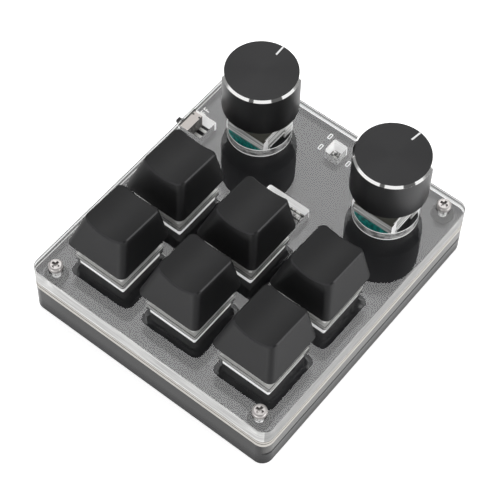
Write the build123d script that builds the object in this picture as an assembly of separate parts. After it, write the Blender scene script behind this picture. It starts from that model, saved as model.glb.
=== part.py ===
from build123d import *
import os

os.makedirs("parts", exist_ok=True)

# Layers, from the desk upwards
corner_radius = 3.0
edge_break = 0.2
pad_thickness = 0.8
pad_inset = 1.5
bottom_thickness = 3.2
frame_height = 5.5
frame_wall = 3.4
board_thickness = 1.2
gasket_thickness = 0.3
key_board_thickness = 0.8
top_thickness = 4.9
top_lift = 0.1

# Fits and cuts
overrun = 1.0
slide_gap = 0.1
running_gap = 0.06
seat_gap = 0.05
press_gap = 0.02
hole_gap = 0.15

# Layout of the deck: keys, knobs and the margins round them
columns = 3
rows = 2
cap_base = 18.1
cap_gap_x = 4.3
cap_gap_y = 3.4
side_margin = 5.2
front_margin = 8.2
knob_radius = 9.9
knob_gap = 12.0
knob_side_margin = 6.65
back_margin = 2.9

# Screws and the posts they pass through
screw_inset_x = 5.15
screw_inset_y = 4.15
screw_radius = 1.0
screw_head_radius = 1.88
screw_head_height = 1.3
screw_head_round = 0.6
screw_recess_length = 2.1
screw_recess_width = 0.7
screw_recess_depth = 0.8
screw_end = 0.8
standoff_radius = 2.9

# Keys
key_travel = 4.0
key_hole = 14.0
key_hole_radius = 0.4
flange_size = 15.6
flange_height = 1.0
flange_radius = 0.8
housing_floor = 1.2
housing_wall = 1.15
housing_peg_radius = 1.95
spring_stub_gap = 0.25
spring_stub_height = 1.4
upper_base = 13.6
upper_top = 10.2
upper_radius = 0.8
upper_height = 5.6
upper_roof = 1.2
upper_wall = 1.1
upper_lip = 0.7
upper_opening = 6.4
shoulder_gap = 0.3
shoulder_height = 1.2
stem_rest_gap = 0.3
stem_bore_radius = 2.4
stem_roof = 2.2
cross_length = 4.0
cross_width_x = 1.3
cross_width_y = 1.1
cross_height = 3.6
spring_gap = 0.3
spring_wall = 0.25

# Key caps
cap_lift = 6.3
cap_base_radius = 1.9
cap_side_lean = 2.85
cap_front_lean = 4.15
cap_back_lean = 0.15
cap_top_radius = 1.8
cap_front_height = 9.1
cap_back_height = 8.2
cap_dish = 1.3
cap_rim_break = 0.3
cap_wall = 1.4
cap_cavity_height = 5.8
cap_cavity_radius = 1.0
cap_tube_radius = 2.75

# Rotary encoders and knobs
knob_hole_radius = 8.5
encoder_width = 11.7
encoder_depth = 11.9
encoder_skirt_z = 4.1
encoder_base_height = 5.9
encoder_floor = 0.8
encoder_roof = 1.5
encoder_skin = 0.4
encoder_tab_width = 2.8
encoder_tab_end = 0.4
encoder_bore_height = 2.6
plunger_radius = 3.3
plunger_height = 1.0
push_travel = 0.5
push_gap = 0.1
bushing_wall = 0.54
bushing_height = 5.0
shaft_radius = 3.0
shaft_flat = 1.5
shaft_flat_length = 11.0
collar_radius = 4.3
collar_height = 1.3
collar_gap = 0.4
knob_bottom = 8.8
knob_height = 12.9
knob_chamfer = 0.55
knob_chamfer_height = 0.65
knob_recess_radius = 7.6
knob_recess_depth = 1.6
knob_roof = 3.3
pointer_length = 3.0
pointer_inset = 0.15
pointer_width = 0.45
pointer_depth = 0.5
pointer_proud = 0.05
dial_turns = {"left": 3, "right": -8}

# Slide switch in the left edge
switch_inset = 23.0
notch_depth = 7.7
notch_wall = 0.55
notch_gap = 0.15
case_inset = 0.75
case_width = 2.5
case_length = 6.3
case_height = 4.2
case_wall = 0.25
switch_base_height = 2.1
terminal_width = 0.8
terminal_length = 2.4
terminal_thickness = 0.25
terminal_pitch = 2.0
lever_travel = 2.0
lever_reach = 1.55
lever_width = 1.3
lever_height = 1.0
slider_length = 3.2
slider_height = 1.6

# Light window, connector slot, charging socket and what lies under the board
window_width = 4.2
window_depth = 4.7
window_inset = 6.9
window_radius = 0.5
light_gap = 0.3
light_height = 1.15
slot_width = 12.6
slot_length = 17.7
slot_radius = 0.6
connector_width = 8.2
connector_depth = 4.9
connector_height = 1.8
connector_x = 1.4
connector_back = 0.35
connector_groove = 0.4
connector_groove_depth = 0.9
socket_width = 8.94
socket_height = 3.2
socket_radius = 1.5
socket_depth = 7.4
socket_wall = 0.3
socket_rear = 0.8
tongue_width = 6.6
tongue_thickness = 0.7
tongue_end = 0.9
battery_size = (40.0, 30.0, 4.0)
battery_round = 1.0
battery_side_gap = 5.1
battery_front_gap = 14.85
module_size = (18.0, 14.0, 1.0)
shield_size = (12.0, 10.0, 0.9)
module_side_gap = 4.1
module_back_gap = 12.85

# Heights that follow
bottom_z = pad_thickness
frame_z = bottom_z + bottom_thickness
board_z = frame_z + frame_height
gasket_z = board_z + board_thickness
key_board_z = gasket_z + gasket_thickness
top_z = key_board_z + key_board_thickness
cover_z = top_z + top_lift
deck_z = cover_z + top_thickness

# Outline and places that follow
key_pitch_x = cap_base + cap_gap_x
key_pitch_y = cap_base + cap_gap_y
key_block_x = columns * cap_base + (columns - 1) * cap_gap_x
key_block_y = rows * cap_base + (rows - 1) * cap_gap_y
plate_width = key_block_x + 2 * side_margin
plate_depth = front_margin + key_block_y + knob_gap + 2 * knob_radius + back_margin
half_width = plate_width / 2
half_depth = plate_depth / 2
cavity_half_x = half_width - frame_wall
cavity_half_y = half_depth - frame_wall
first_key_x = side_margin + cap_base / 2 - half_width
first_key_y = front_margin + cap_base / 2 - half_depth
knob_x = half_width - knob_side_margin - knob_radius
knob_y = half_depth - back_margin - knob_radius
screw_x = half_width - screw_inset_x
screw_y = half_depth - screw_inset_y
switch_y = half_depth - switch_inset
window_y = half_depth - window_inset
slot_front_y = first_key_y + (rows - 1) * key_pitch_y
slot_back_y = slot_front_y + slot_length
case_front_y = switch_y - case_length / 2
case_back_y = switch_y + case_length / 2
case_outer_x = -half_width + case_inset
case_inner_x = case_outer_x + case_width
case_top = top_z + case_height
room_low = (case_outer_x + case_wall, case_front_y + case_wall, top_z)
room_high = (case_inner_x - case_wall, case_back_y - case_wall, case_top - case_wall)
slider_z = top_z + switch_base_height + slide_gap
slider_top = slider_z + slider_height
lever_middle_y = switch_y - lever_travel / 2
lever_front_y = lever_middle_y - lever_width / 2
lever_back_y = lever_middle_y + lever_width / 2
lever_z = (slider_z + slider_top - lever_height) / 2
lever_top = lever_z + lever_height

key_spots = [
    (first_key_x + column * key_pitch_x, first_key_y + row * key_pitch_y)
    for column in range(columns)
    for row in range(rows)
]
knob_spots = {"left": (-knob_x, knob_y), "right": (knob_x, knob_y)}
screw_spots = [(x, y) for x in (-screw_x, screw_x) for y in (-screw_y, screw_y)]


def block(low, high):
    size = [top - bottom for bottom, top in zip(low, high)]
    return Pos(*low) * Box(*size, align=(Align.MIN, Align.MIN, Align.MIN))


def slab(width, depth, radius, low, high):
    return Pos(0, 0, low) * extrude(RectangleRounded(width, depth, radius), high - low)


def post(radius, low, high):
    size = high - low
    return Pos(0, 0, low) * Cylinder(radius, size, align=(Align.CENTER, Align.CENTER, Align.MIN))


def turned(points):
    return revolve(make_face(Plane.XZ * Polyline(*points, close=True)), Axis.Z)


def tapered(base, base_radius, low, top, top_radius, high):
    lower = Pos(0, 0, low) * RectangleRounded(base, base, base_radius)
    upper = Pos(0, 0, high) * RectangleRounded(top, top, top_radius)
    return loft([lower, upper])


def cut_at(shape, tool, spots):
    for x, y in spots:
        shape -= Pos(x, y, 0) * tool
    return shape


def save(name, shape):
    export_step(shape, f"parts/{name}.step")


def sheet(low, high):
    return slab(plate_width, plate_depth, corner_radius, low, high)


# Layers of the case
pad_width = plate_width - 2 * pad_inset
pad_depth = plate_depth - 2 * pad_inset
save("base_pad", slab(pad_width, pad_depth, corner_radius, 0, bottom_z))

screw_hole = post(screw_radius + running_gap, bottom_z + screw_end - press_gap, frame_z + overrun)
save("bottom_plate", cut_at(sheet(bottom_z, frame_z), screw_hole, screw_spots))

socket_z = board_z - socket_height
middle_frame = sheet(frame_z, board_z)
middle_frame -= slab(
    2 * cavity_half_x, 2 * cavity_half_y, corner_radius, frame_z - overrun, board_z + overrun
)
standoff_hole = post(standoff_radius + slide_gap, frame_z - overrun, top_z + overrun)
middle_frame = cut_at(middle_frame, standoff_hole, screw_spots)
socket_half = socket_width / 2 + hole_gap
middle_frame -= block(
    (-socket_half, cavity_half_y - overrun, socket_z - hole_gap),
    (socket_half, half_depth + overrun, board_z + overrun),
)
save("middle_frame", middle_frame)

peg_hole = post(housing_peg_radius + seat_gap, board_z - overrun, top_z + overrun)
for name, low, high in (
    ("main_board", board_z, gasket_z),
    ("board_gasket", gasket_z, key_board_z),
    ("key_board", key_board_z, top_z),
):
    layer = cut_at(sheet(low, high), standoff_hole, screw_spots)
    save(name, cut_at(layer, peg_hole, key_spots))

top_plate = sheet(cover_z, deck_z)
top_plate = chamfer(top_plate.faces().sort_by(Axis.Z)[-1].edges(), edge_break)
key_opening = slab(key_hole, key_hole, key_hole_radius, top_z - overrun, deck_z + overrun)
top_plate = cut_at(top_plate, key_opening, key_spots)
knob_opening = post(knob_hole_radius, top_z - overrun, deck_z + overrun)
top_plate = cut_at(top_plate, knob_opening, knob_spots.values())
shank_hole = post(screw_radius + hole_gap, top_z - overrun, deck_z + overrun)
top_plate = cut_at(top_plate, shank_hole, screw_spots)
slot = slab(slot_width, slot_length, slot_radius, top_z - overrun, deck_z + overrun)
top_plate -= Pos(0, (slot_back_y + slot_front_y) / 2, 0) * slot
window = slab(window_width, window_depth, window_radius, top_z - overrun, deck_z + overrun)
top_plate -= Pos(0, window_y, 0) * window
top_plate -= block(
    (-half_width + notch_wall, case_front_y - notch_gap, top_z - overrun),
    (-half_width + notch_depth, case_back_y + notch_gap, deck_z + overrun),
)
top_plate -= block(
    (-half_width - overrun, lever_front_y - hole_gap, top_z - overrun),
    (-half_width + notch_wall + overrun, lever_back_y + lever_travel + hole_gap, lever_top + hole_gap),
)
save("top_plate", top_plate)

# Screws and standoffs
screw = post(screw_head_radius, deck_z, deck_z + screw_head_height)
screw = fillet(screw.edges().sort_by(Axis.Z)[-1], screw_head_round)
screw += post(screw_radius, bottom_z + screw_end, deck_z)
recess_floor = deck_z + screw_head_height - screw_recess_depth
recess_half = screw_recess_length / 2
recess_side = screw_recess_width / 2
for half_x, half_y in ((recess_half, recess_side), (recess_side, recess_half)):
    screw -= block(
        (-half_x, -half_y, recess_floor),
        (half_x, half_y, deck_z + screw_head_height + overrun),
    )
standoff = post(standoff_radius, frame_z, cover_z - seat_gap)
standoff -= post(screw_radius + hole_gap, frame_z - overrun, top_z + overrun)
save("plate_screws", Compound([Pos(x, y, 0) * screw for x, y in screw_spots]))
save("screw_standoffs", Compound([Pos(x, y, 0) * standoff for x, y in screw_spots]))

# Keys, drawn about a key's centre with the deck at zero
seat_z = top_z - deck_z
floor_z = seat_z + housing_floor
housing_size = key_hole - slide_gap
housing_cavity = housing_size - 2 * housing_wall
spring_radius = stem_bore_radius - spring_gap
spring_inner = spring_radius - spring_wall
switch_lower = slab(housing_size, housing_size, key_hole_radius, seat_z, 0)
switch_lower += slab(flange_size, flange_size, flange_radius, 0, flange_height)
switch_lower -= slab(
    housing_cavity, housing_cavity, flange_radius, floor_z, flange_height + overrun
)
switch_lower += post(housing_peg_radius, board_z - deck_z, seat_z)
switch_lower += post(spring_inner - spring_stub_gap, floor_z, floor_z + spring_stub_height)

upper_z = flange_height + upper_height
roof_z = upper_z - upper_roof
switch_upper = tapered(upper_base, upper_radius, flange_height, upper_top, upper_radius, upper_z)
upper_cavity_base = upper_base - 2 * upper_wall
upper_cavity_top = upper_top - 2 * upper_lip
switch_upper -= tapered(
    upper_cavity_base, upper_radius, flange_height, upper_cavity_top, upper_radius, roof_z
)
opening_half = upper_opening / 2
switch_upper -= block(
    (-opening_half, -opening_half, roof_z - overrun),
    (opening_half, opening_half, upper_z + overrun),
)

stem_bottom = floor_z + stem_rest_gap + key_travel
stem_half = opening_half - slide_gap
bore_top = upper_z - stem_roof
key_stem = block((-stem_half, -stem_half, stem_bottom), (stem_half, stem_half, upper_z))
shoulder_half = upper_cavity_top / 2 - shoulder_gap
shoulder_top = roof_z - slide_gap
key_stem += block(
    (-shoulder_half, -shoulder_half, shoulder_top - shoulder_height),
    (shoulder_half, shoulder_half, shoulder_top),
)
key_stem -= post(stem_bore_radius, stem_bottom - overrun, bore_top)


def cross(gap, low, high):
    long_half = cross_length / 2 + gap
    half_x = cross_width_x / 2 + gap
    half_y = cross_width_y / 2 + gap
    bar_x = block((-long_half, -half_x, low), (long_half, half_x, high))
    bar_y = block((-half_y, -long_half, low), (half_y, long_half, high))
    return bar_x + bar_y


cross_top = upper_z + cross_height
key_stem += cross(0, upper_z, cross_top)

key_spring = post(spring_radius, floor_z, bore_top)
key_spring -= post(spring_inner, floor_z - overrun, bore_top + overrun)

# Key cap: leaning sides, top tilted to the back and dished across
cap_height = (cap_front_height + cap_back_height) / 2
cap_top_width = cap_base - 2 * cap_side_lean
cap_top_depth = cap_base - cap_front_lean - cap_back_lean
cap_top_back = (cap_front_lean - cap_back_lean) / 2
cap_top = Plane(
    origin=(0, cap_top_back, cap_lift + cap_height),
    x_dir=(1, 0, 0),
    z_dir=(0, cap_front_height - cap_back_height, cap_top_depth),
)
keycap = loft([
    Pos(0, 0, cap_lift) * RectangleRounded(cap_base, cap_base, cap_base_radius),
    cap_top * RectangleRounded(cap_top_width, cap_top_depth, cap_top_radius),
])
dish_radius = (cap_top_width**2 / 4 + cap_dish**2) / (2 * cap_dish)
dish = Rot(90, 0, 0) * Cylinder(dish_radius, 2 * cap_base)
keycap -= cap_top * (Pos(0, 0, dish_radius - cap_dish) * dish)
dished_face = keycap.faces().sort_by(Axis.Z)[-1]
keycap = chamfer(dished_face.edges(), cap_rim_break)
cavity_share = cap_cavity_height / cap_height
cavity_base = cap_base - 2 * cap_wall
cavity_width = cap_base + (cap_top_width - cap_base) * cavity_share - 2 * cap_wall
cavity_depth = cap_base + (cap_top_depth - cap_base) * cavity_share - 2 * cap_wall
cavity_z = cap_lift + cap_cavity_height
keycap -= loft([
    Pos(0, 0, cap_lift) * RectangleRounded(cavity_base, cavity_base, cap_cavity_radius),
    Pos(0, cap_top_back * cavity_share, cavity_z)
    * RectangleRounded(cavity_width, cavity_depth, cap_cavity_radius),
])
tube = post(cap_tube_radius, upper_z + seat_gap, cavity_z + press_gap)
keycap += tube - cross(press_gap, upper_z, cross_top + slide_gap)

for number, (x, y) in enumerate(key_spots, start=1):
    for name, shape in (
        ("switch_lower", switch_lower),
        ("switch_upper", switch_upper),
        ("key_spring", key_spring),
        ("key_stem", key_stem),
        ("keycap", keycap),
    ):
        save(f"{name}_{number}", Pos(x, y, deck_z) * shape)

# Rotary encoders, drawn about the shaft with the key board's upper face at zero
encoder_half_x = encoder_width / 2
encoder_half_y = encoder_depth / 2
room_z = encoder_floor + encoder_bore_height
cover_top = encoder_base_height + encoder_roof


def encoder_block(inset_x, inset_y, low, high):
    half_x = encoder_half_x - inset_x
    half_y = encoder_half_y - inset_y
    return block((-half_x, -half_y, low), (half_x, half_y, high))


encoder_base = encoder_block(encoder_skin, 0, 0, encoder_skirt_z)
encoder_base += encoder_block(encoder_skin, encoder_skin, encoder_skirt_z, encoder_base_height)
encoder_base -= post(plunger_radius + running_gap, encoder_floor, room_z)
encoder_base -= post(collar_radius + collar_gap, room_z, encoder_base_height + overrun)

encoder_cover = encoder_block(0, 0, encoder_skirt_z, cover_top)
encoder_cover -= encoder_block(encoder_skin, encoder_skin, encoder_skirt_z, encoder_base_height)
tab = block(
    (-encoder_skin / 2, -encoder_tab_width / 2, encoder_tab_end),
    (encoder_skin / 2, encoder_tab_width / 2, encoder_skirt_z),
)
tab_x = encoder_half_x - encoder_skin / 2
tab_y = encoder_half_y - encoder_tab_width / 2
for side in (-1, 1):
    for end in (-1, 1):
        encoder_cover += Pos(side * tab_x, end * tab_y, 0) * tab
bushing_bore = shaft_radius + running_gap
bushing_top = cover_top + bushing_height
encoder_cover += post(bushing_bore + bushing_wall, cover_top, bushing_top)
encoder_cover -= post(bushing_bore, encoder_base_height - overrun, bushing_top + overrun)

plunger_z = encoder_floor + push_gap + push_travel
plunger_top = plunger_z + plunger_height
encoder_plunger = post(plunger_radius, plunger_z, plunger_top)

knob_z = deck_z + knob_bottom - top_z
knob_top = knob_z + knob_height
shaft_top = knob_top - knob_roof - slide_gap
collar_top = encoder_base_height - slide_gap


def shaft_shape(gap, low, high):
    shaft = post(shaft_radius + gap, low, high)
    return shaft - block(
        (shaft_flat + gap, -shaft_radius - overrun, shaft_top - shaft_flat_length),
        (shaft_radius + overrun, shaft_radius + overrun, high + overrun),
    )


encoder_shaft = shaft_shape(0, plunger_top + seat_gap, shaft_top)
encoder_shaft += post(collar_radius, collar_top - collar_height, collar_top)

knob_side_top = knob_top - knob_chamfer_height
knob = turned([
    (0, knob_z),
    (knob_radius, knob_z),
    (knob_radius, knob_side_top),
    (knob_radius - knob_chamfer, knob_top),
    (0, knob_top),
])
knob -= post(knob_recess_radius, knob_z - overrun, knob_z + knob_recess_depth)
knob -= shaft_shape(press_gap, knob_z - overrun, knob_top - knob_roof)
pointer_half = pointer_width / 2
pointer_end = knob_radius - knob_chamfer - pointer_inset
pointer_start = pointer_end - pointer_length
pointer_z = knob_top - pointer_depth


def pointer_shape(gap, high):
    return block(
        (-pointer_half - gap, pointer_start - gap, pointer_z),
        (pointer_half + gap, pointer_end + gap, high),
    )


knob -= pointer_shape(press_gap, knob_top + overrun)
knob_pointer = pointer_shape(0, knob_top + pointer_proud)

for side, (x, y) in knob_spots.items():
    turn = Rot(0, 0, dial_turns[side])
    for name, shape in (
        ("encoder_base", encoder_base),
        ("encoder_cover", encoder_cover),
        ("encoder_plunger", encoder_plunger),
        ("encoder_shaft", turn * encoder_shaft),
        ("knob", turn * knob),
        ("knob_pointer", turn * knob_pointer),
    ):
        save(f"{name}_{side}", Pos(x, y, top_z) * shape)

# Slide switch: metal case, base with its terminals, and the lever
slide_switch_case = block((case_outer_x, case_front_y, top_z), (case_inner_x, case_back_y, case_top))
slide_switch_case -= block(
    (room_low[0], room_low[1], top_z - overrun),
    room_high,
)
slide_switch_case -= block(
    (case_outer_x - overrun, lever_front_y - hole_gap, lever_z - hole_gap),
    (room_low[0] + overrun, lever_back_y + lever_travel + hole_gap, lever_top + hole_gap),
)
terminal_top = top_z + terminal_thickness
terminal_spots = [switch_y + step * terminal_pitch for step in (-1, 0, 1)]
slide_switch_base = block(
    (room_low[0] + press_gap, room_low[1] + press_gap, top_z),
    (room_high[0] - press_gap, room_high[1] - press_gap, top_z + switch_base_height),
)
for spot in terminal_spots:
    slide_switch_case -= block(
        (room_high[0] - overrun, spot - terminal_width / 2 - press_gap, top_z - overrun),
        (case_inner_x + overrun, spot + terminal_width / 2 + press_gap, terminal_top + press_gap),
    )
    slide_switch_base += block(
        (room_high[0] - overrun, spot - terminal_width / 2, top_z),
        (case_inner_x + terminal_length, spot + terminal_width / 2, terminal_top),
    )
save("slide_switch_case", slide_switch_case)
save("slide_switch_base", slide_switch_base)

slider_half = slider_length / 2
slide_lever = block(
    (room_low[0] + slide_gap, lever_middle_y - slider_half, slider_z),
    (room_high[0] - slide_gap, lever_middle_y + slider_half, slider_top),
)
slide_lever += block(
    (-half_width - lever_reach, lever_front_y, lever_z),
    (room_low[0] + overrun, lever_back_y, lever_top),
)
save("slide_lever", slide_lever)

# Status light and connector on the key board
light_width = window_width - 2 * light_gap
light_depth = window_depth - 2 * light_gap
status_light = slab(light_width, light_depth, edge_break, top_z, top_z + light_height)
save("status_light", Pos(0, window_y, 0) * status_light)
connector_low_x = connector_x - connector_width / 2
connector_high_x = connector_x + connector_width / 2
connector_high_y = slot_back_y - connector_back
connector_low_y = connector_high_y - connector_depth
connector_top = top_z + connector_height
board_connector = block(
    (connector_low_x, connector_low_y, top_z),
    (connector_high_x, connector_high_y, connector_top),
)
for row in (1, 3):
    groove_y = connector_high_y - 2 * row * connector_groove
    board_connector -= block(
        (connector_low_x + connector_groove, groove_y, connector_top - connector_groove_depth),
        (connector_high_x - connector_groove, groove_y + connector_groove, connector_top + overrun),
    )
save("board_connector", board_connector)

# Charging socket under the board, opening at the back edge
socket_low_y = half_depth - socket_depth
socket_middle = (0, socket_low_y, socket_z + socket_height / 2)
socket_face = Plane(origin=socket_middle, x_dir=(1, 0, 0), z_dir=(0, 1, 0))
mouth_width = socket_width - 2 * socket_wall
mouth_height = socket_height - 2 * socket_wall
shell = RectangleRounded(socket_width, socket_height, socket_radius)
usb_socket = extrude(socket_face * shell, socket_depth)
mouth = RectangleRounded(mouth_width, mouth_height, socket_radius - socket_wall)
mouth_face = socket_face.offset(socket_rear)
usb_socket -= extrude(mouth_face * mouth, socket_depth)
tongue_length = socket_depth - socket_rear - tongue_end
usb_socket += extrude(mouth_face * Rectangle(tongue_width, tongue_thickness), tongue_length)
save("usb_socket", usb_socket)

# Battery on the bottom plate, controller module under the board
battery_width, battery_depth, battery_height = battery_size
battery_x = battery_side_gap + battery_width / 2 - cavity_half_x
battery_y = battery_front_gap + battery_depth / 2 - cavity_half_y
battery_cell = slab(battery_width, battery_depth, battery_round, frame_z, frame_z + battery_height)
save("battery_cell", Pos(battery_x, battery_y, 0) * battery_cell)
module_width, module_depth, module_height = module_size
shield_width, shield_depth, shield_height = shield_size
module_x = cavity_half_x - module_side_gap - module_width / 2
module_y = cavity_half_y - module_back_gap - module_depth / 2
module_z = board_z - module_height
controller_module = slab(module_width, module_depth, edge_break, module_z, board_z)
controller_module += slab(shield_width, shield_depth, edge_break, module_z - shield_height, module_z)
save("controller_module", Pos(module_x, module_y, 0) * controller_module)
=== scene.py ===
import math

import bmesh
import bpy
from mathutils import Matrix, Vector


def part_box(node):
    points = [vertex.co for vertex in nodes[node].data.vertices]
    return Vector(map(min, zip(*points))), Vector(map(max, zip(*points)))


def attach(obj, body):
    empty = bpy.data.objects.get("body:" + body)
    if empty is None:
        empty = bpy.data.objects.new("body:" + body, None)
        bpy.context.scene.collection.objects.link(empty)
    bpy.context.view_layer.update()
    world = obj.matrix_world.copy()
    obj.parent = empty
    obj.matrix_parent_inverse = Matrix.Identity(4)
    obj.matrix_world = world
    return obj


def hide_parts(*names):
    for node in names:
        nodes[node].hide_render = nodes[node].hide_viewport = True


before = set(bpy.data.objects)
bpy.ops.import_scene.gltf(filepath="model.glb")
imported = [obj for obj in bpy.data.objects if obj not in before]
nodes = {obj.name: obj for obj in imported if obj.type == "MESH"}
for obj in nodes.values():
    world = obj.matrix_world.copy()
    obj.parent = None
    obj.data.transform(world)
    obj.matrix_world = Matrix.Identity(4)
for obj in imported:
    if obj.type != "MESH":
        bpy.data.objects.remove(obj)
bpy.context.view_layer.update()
scene = bpy.context.scene
mm = 0.001
sides = ("left", "right")
keyNumbers = range(1, 7)
even = (1, 1, 1)
print("frame loaded:", len(nodes), "nodes")


def plug(tree, value, place):
    if isinstance(value, Wire):
        tree.links.new(value.socket, place)
    else:
        place.default_value = value


class Wire:  # one output of a node, so that sums on it read as sums
    def __init__(self, tree, socket):
        self.tree = tree
        self.socket = socket

    def calc(self, operation, *values):
        made = self.tree.nodes.new("ShaderNodeMath")
        made.operation = operation
        for value, place in zip(values, made.inputs):
            plug(self.tree, value, place)
        return Wire(self.tree, made.outputs[0])

    def out(self, name):
        return Wire(self.tree, self.socket.node.outputs[name])

    def __add__(self, other):
        return self.calc("ADD", self, other)

    def __radd__(self, other):
        return self.calc("ADD", other, self)

    def __sub__(self, other):
        return self.calc("SUBTRACT", self, other)

    def __rsub__(self, other):
        return self.calc("SUBTRACT", other, self)

    def __mul__(self, other):
        return self.calc("MULTIPLY", self, other)

    def __rmul__(self, other):
        return self.calc("MULTIPLY", other, self)

    def __truediv__(self, other):
        return self.calc("DIVIDE", self, other)

    def __pow__(self, other):
        return self.calc("POWER", self, other)

    def __gt__(self, other):
        return self.calc("GREATER_THAN", self, other)

    def __lt__(self, other):
        return self.calc("LESS_THAN", self, other)

    def __abs__(self):
        return self.calc("ABSOLUTE", self)

    def most(self, other):
        return self.calc("MAXIMUM", self, other)


def dim(colour, share):
    return tuple(share * c for c in colour)


def ranged(limits, share):  # a least value, and how much more it can be
    least, more = limits
    return least + more * share


class Finish:  # one material, or the world, and the nodes that make it
    def __init__(self, name, owner=None, place="Object"):
        self.owner = owner or bpy.data.materials.new(name)
        self.owner.use_nodes = True
        self.tree = self.owner.node_tree
        self.tree.nodes.clear()
        self.place = self.node("ShaderNodeTexCoord", output=place)
        split = self.node("ShaderNodeSeparateXYZ", sockets={"Vector": self.place})
        self.x = split.out("X")
        self.y = split.out("Y")
        self.z = split.out("Z")

    def node(self, kind, settings=None, sockets=None, output=0):
        made = self.tree.nodes.new(kind)
        for name, value in (settings or {}).items():
            setattr(made, name, value)
        for name, value in (sockets or {}).items():
            plug(self.tree, value, made.inputs[name])
        return Wire(self.tree, made.outputs[output]) if made.outputs else made

    def toward(self, direction):  # how far a face looks along a direction
        normal = self.node("ShaderNodeTexCoord", output="Normal")
        return self.node(
            "ShaderNodeVectorMath",
            {"operation": "DOT_PRODUCT"},
            {0: normal, 1: direction},
            output="Value",
        )

    def facing(self):  # how far a face looks up or down, 0 on a wall and 1 on a deck
        return abs(self.toward((0, 0, 1)))

    def grain(self, size, stretch=even, detail=2.0):
        spread = self.node(
            "ShaderNodeVectorMath",
            {"operation": "MULTIPLY"},
            {0: self.place, 1: tuple(share / size for share in stretch)},
        )
        return self.node(
            "ShaderNodeTexNoise",
            sockets={"Vector": spread, "Scale": 1.0, "Detail": detail},
        )

    def ease(self, value, low, high, start=0.0, end=1.0):
        return self.node(
            "ShaderNodeMapRange",
            {"interpolation_type": "SMOOTHSTEP"},
            {"Value": value, "From Min": low, "From Max": high, "To Min": start, "To Max": end},
        )

    def blend(self, share, low, high):
        colours = [c if isinstance(c, Wire) else (*c, 1) for c in (low, high)]
        return self.node(
            "ShaderNodeMix",
            {"data_type": "RGBA"},
            {0: share, 6: colours[0], 7: colours[1]},
            output=2,
        )

    def shaded(self, share, colour, dark):  # from a darker tone of a colour to the colour
        return self.blend(share, dim(colour, dark), colour)

    def bump(self, height, depth, strength):
        return self.node(
            "ShaderNodeBump", sockets={"Height": height, "Strength": strength, "Distance": depth}
        )

    def shader(self, **sockets):
        named = {name.replace("_", " "): value for name, value in sockets.items()}
        for name, value in named.items():
            if "Color" in name and not isinstance(value, Wire):
                named[name] = (*value, 1)
        return self.node("ShaderNodeBsdfPrincipled", sockets=named)

    def mixed(self, share, first, second):
        return self.node("ShaderNodeMixShader", sockets={0: share, 1: first, 2: second})

    def done(self, shader, output="ShaderNodeOutputMaterial"):
        self.node(output, sockets={"Surface": shader})
        return self.owner


def dress(material, *names):
    for name in names:
        nodes[name].material_slots[0].material = material


def each(stem, tags):
    return [f"{stem}_{tag}" for tag in tags]


# Camera, set out from the middle of the case
cameraLook = {
    "azimuth": 36.777,
    "elevation": 57.161,
    "roll": 1.949,
    "distance": 438.889 * mm,
    "lens": 126.893,
    "sensor": 36,
    "clipShare": 0.01,
    "slide": -0.476 * mm,
    "rise": -0.066 * mm,
    "aimHeight": 10.8 * mm,
}


def makeCamera(look):
    az = math.radians(look["azimuth"])
    el = math.radians(look["elevation"])
    roll = math.radians(look["roll"])
    back = Vector((math.sin(az) * math.cos(el), -math.cos(az) * math.cos(el), math.sin(el)))
    level = Vector((math.cos(az), math.sin(az), 0))
    rise = back.cross(level)
    right = level * math.cos(roll) + rise * math.sin(roll)
    up = rise * math.cos(roll) - level * math.sin(roll)
    target = right * look["slide"] + up * look["rise"] + Vector((0, 0, look["aimHeight"]))
    camera = bpy.data.objects.new("camera", bpy.data.cameras.new("camera"))
    turn = Matrix((right, up, back)).transposed().to_4x4()
    camera.matrix_world = Matrix.Translation(target + back * look["distance"]) @ turn
    camera.data.sensor_width = look["sensor"]
    camera.data.lens = look["lens"]
    camera.data.clip_start = look["distance"] * look["clipShare"]
    scene.collection.objects.link(camera)
    scene.camera = camera


makeCamera(cameraLook)
print("camera set")

# Light tent: even white surroundings, a pale floor that glows a little, soft boxes
tent = {
    "surround": 0.3,
    "horizon": 0.95,  # bright band of screens round the object
    "band": (0.14, 0.22, 0.55, 0.63),  # heights where it starts and ends
    "gaps": [(-77, 5), (-13, 13)],  # slits between the screens: bearing and half width in degrees
    "gapSoft": 2,
    "gapShare": 0.12,
    "panel": (45, 20, 0.5, 0.86),  # high panel: bearing and half width in degrees, heights
    "panelSoft": (10, 0.05, 0.03),  # degrees at its sides, heights below and above it
    "panelPower": 2.0,
    "floorSize": 3.0,
    "floorColour": (0.86, 0.86, 0.86),
    "floorFibre": 4 * mm,
    "floorRough": (0.85, 0.1),
    "floorGlow": 0.75,
    "boxes": [
        {"name": "overhead", "at": (-0.42, 0.565, 1.09), "wide": 0.72, "tall": 0.72, "power": 6.1},
        {"name": "front", "at": (-0.1, -1.1, 0.085), "wide": 0.7, "tall": 0.12, "power": 4.8},
        {"name": "right", "at": (1.1, 0.1, 0.085), "wide": 0.7, "tall": 0.12, "power": 6.7},
    ],
}


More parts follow.
